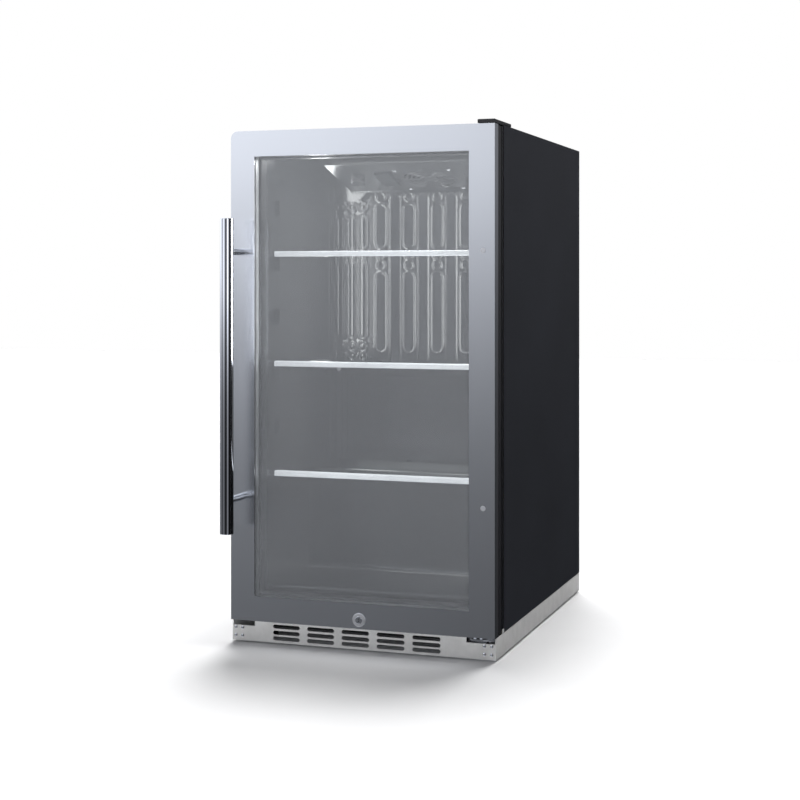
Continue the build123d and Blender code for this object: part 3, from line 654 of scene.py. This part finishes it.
panes_low, panes_high = corners("glass_panes")
pane_thickness = 4 * MM
pane_cut = 0.6 * MM
outer_high = Vector((panes_high.x, panes_low.y + pane_thickness, panes_high.z))
inner_low = Vector((panes_low.x, panes_high.y - pane_thickness, panes_low.z))
outer_pane = add_piece("outer_pane", *slab(panes_low, outer_high, pane_cut),
                       "door", outer_glass_finish, ("glass_panes",), "glass", smooth=False)
inner_pane = add_piece("inner_pane", *slab(inner_low, panes_high, pane_cut),
                       "door", inner_glass_finish, ("glass_panes",), "glass", smooth=False)
shelf_panes = [nodes["shelf_glass_" + level] for level in ("lower", "middle", "upper")]
for glass_piece in [outer_pane, inner_pane] + shelf_panes:
    glass_piece.visible_diffuse = False
    glass_piece.visible_shadow = False
    glass_piece.visible_glossy = False
print("two panes,", round(panes_high.x - panes_low.x, 3), "wide")

# %% [markdown]
# ## Gasket
#
# The seal round the door is a soft extrusion with a magnet in its flat head and a folded bellows
# behind it, cut at 45 degrees and welded at the corners. Its outline is swept round the door's
# rectangle: the inset is how far each point lies inside the seal's outer edge.

# %% Sweep the gasket
gasket_low, gasket_high = corners("gasket")
half_outline = [(1, None), (1, 9.4), (3.4, 8.6), (3.9, 7.5), (2.7, 6.6), (3.9, 5.7), (3.4, 4.7),
                (0.8, 3.9), (0, 3.0), (0, 1.0), (0.9, 0)]   # inset and depth in mm; None is the root
head_width = 15
outline = [(inset * MM, gasket_low.y if back is None else gasket_high.y - back * MM)
           for inset, back in half_outline]
outline += [(head_width * MM - inset, y) for inset, y in reversed(outline)]
gasket_points = []
gasket_faces = []
for inset, y in outline:
    left, right = gasket_low.x + inset, gasket_high.x - inset
    bottom, top = gasket_low.z + inset, gasket_high.z - inset
    gasket_points += [(left, y, bottom), (right, y, bottom), (right, y, top), (left, y, top)]
for row in range(len(outline)):
    below = (row + 1) % len(outline)
    for corner in range(4):
        following = (corner + 1) % 4
        gasket_faces.append((row * 4 + corner, row * 4 + following,
                             below * 4 + following, below * 4 + corner))
seal = add_piece("door_gasket", gasket_points, gasket_faces, "door", rubber, ("gasket",), "gasket_rubber")
seal.data.set_sharp_from_angle(angle=math.radians(50))
print("gasket outline of", len(outline), "points")

# %% [markdown]
# ## Light and floor
#
# The steel is a soft mirror that looks at the room in front of it, so the room is made in two ramps.
# One goes by height, bright above and dark below, and gives the door its fall from silver to slate.
# The other goes by bearing, with narrow bright bands that run a line down the round handle. What the
# camera sees behind the object is plain white. Matt surfaces are filled from a low band in front,
# which lights the kickplate without washing out the side.
#
# One high lamp leans back a little, so its soft shadow falls towards the front. It isn't seen in
# mirrors, since a bright disc in the door would say "lamp" and not "room". Four small lamps sit
# inside the cabin, because hardly any light gets in through two coated panes. The strongest is kept
# to the upper half, beside the pressed plate: lower down the glossy rear wall would mirror it as a
# white patch as soon as the door is opened.

# %% The room
world = bpy.data.worlds.new("studio")
world.use_nodes = True
bpy.context.scene.world = world
room = Finish("studio", world.node_tree)
towards = room.node("ShaderNodeTexCoord", output="Generated")
height = room.node("ShaderNodeSeparateXYZ", inputs={"Vector": towards}, output="Z")
depth_side = Wire(room, height.socket.node.outputs["Y"])
sideways = Wire(room, height.socket.node.outputs["X"])
cool = (1.06, 1.09, 1.16)
falls = ((-1.0, 1.0), (-0.62, 0.9), (-0.42, 0.18), (-0.30, 0.14), (-0.216, 0.15), (-0.127, 0.20),
         (-0.077, 0.28), (-0.026, 0.47), (0.02, 0.74), (0.07, 1.12), (0.25, 1.2))
fall = room.ramp(height * 0.5 + 0.5,
                 *[(0.5 + 0.5 * rise, [c * light for c in cool]) for rise, light in falls])
bearing = sideways.sum("ARCTAN2", sideways, depth_side * -1.0) * (0.5 / math.pi) + 0.5
bands = ((-179, 0.20), (-130, 0.90), (-100, 1.4), (-78, 1.2), (-60, 0.28), (-50, 0.35), (-42, 1.12),
         (-26, 1.12), (-17, 0.88), (-10, 0.6), (-3, 0.12), (24, 0.06), (30, 1.3), (40, 1.8), (49, 1.3),
         (58, 0.03), (92, 0.04), (104, 0.2), (140, 0.15), (165, 0.16), (179, 0.16))
window = room.ramp(bearing, *[(0.5 + angle / 360, [light] * 3) for angle, light in bands])


def multiplied(first, second):
    return room.node("ShaderNodeMix", {"data_type": "RGBA", "blend_type": "MULTIPLY"},
                     {0: 1.0, 6: first, 7: second}, output=2)


mirrored = multiplied(fall, window)
seen_mirrored = room.node("ShaderNodeBackground", inputs={"Color": mirrored, "Strength": 1.0})
seen_straight = room.node("ShaderNodeBackground", inputs={"Color": (1, 1, 1, 1), "Strength": 1.0})
low_band = room.ramp(height * 0.5 + 0.5, (0.5, (1.2, 1.22, 1.26)), (0.63, (1.0, 1.02, 1.06)),
                     (0.72, (0.08, 0.08, 0.08)))
front_half = room.ramp(depth_side * 0.5 + 0.5, (0.36, (1, 1, 1)), (0.56, (0.15, 0.15, 0.15)))
soft_fill = room.node("ShaderNodeBackground",
                      inputs={"Color": multiplied(low_band, front_half), "Strength": 1.0})
mirror_ray = room.node("ShaderNodeLightPath", output="Is Glossy Ray")
camera_ray = Wire(room, mirror_ray.socket.node.outputs["Is Camera Ray"])
shader = room.node("ShaderNodeMixShader", inputs={0: mirror_ray, 1: soft_fill, 2: seen_mirrored})
shader = room.node("ShaderNodeMixShader", inputs={0: camera_ray, 1: shader, 2: seen_straight})
room.node("ShaderNodeOutputWorld", inputs={"Surface": shader})


def lamp(name, place, aim, size, power):
    """A square or oblong soft box that the camera can't see."""
    data = bpy.data.lights.new(name, "AREA")
    data.shape = "RECTANGLE"
    data.size, data.size_y = size
    data.energy = power
    box = bpy.data.objects.new(name, data)
    box.location = place
    box.rotation_euler = (Vector(aim) - Vector(place)).to_track_quat("-Z", "Y").to_euler()
    box.visible_camera = False
    bpy.context.scene.collection.objects.link(box)


# Each row: name, across and depth and height of the lamp, the same of its aim, size, watts.
cabin_lamps = (
    ("cabin_left", (-0.181, 0.285, 0.62), (0, 0.285, 0.62), (0.10, 0.32), 1.2),
    ("cabin_right", (0.181, 0.215, 0.62), (0, 0.215, 0.62), (0.24, 0.34), 2.6),
    ("cabin_roof", (0.02, 0.15, 0.804), (0.02, 0.15, 0.40), (0.34, 0.12), 1.3),
    ("cabin_rear", (0.02, 0.372, 0.44), (0.02, 0, 0.44), (0.32, 0.66), 0.12),
)
from_door = Vector((0, door_face, 0))
for name, place, aim, size, power in cabin_lamps:
    lamp(name, Vector(place) + from_door, Vector(aim) + from_door, size, power)

sun_data = bpy.data.lights.new("high_lamp", "SUN")
sun_data.energy = 3.9
sun_data.angle = math.radians(26)
sun = bpy.data.objects.new("high_lamp", sun_data)
sun.rotation_euler = Vector((0.04, -0.40, -1.0)).to_track_quat("-Z", "Y").to_euler()
sun.visible_glossy = False
bpy.context.scene.collection.objects.link(sun)

floor_mesh = bpy.data.meshes.new("floor")
reach = 9
floor_mesh.from_pydata([(-reach, -reach, 0), (reach, -reach, 0), (reach, reach, 0), (-reach, reach, 0)],
                       [], [(0, 1, 2, 3)])
floor = bpy.data.objects.new("floor", floor_mesh)
bpy.context.scene.collection.objects.link(floor)
floor_finish = Finish("pale_floor")
grain = floor_finish.noise(floor_finish.place((6, 6, 6)), 1.0, 3.0)
floor_tone = floor_finish.ramp(grain, (0.3, (0.90, 0.90, 0.905)), (0.7, (0.92, 0.92, 0.925)))
dress(floor, floor_finish.finish(floor_finish.surface(
    Base_Color=floor_tone, Roughness=0.9, Specular_IOR_Level=0.0)))
floor.visible_glossy = False
print("the room is lit")
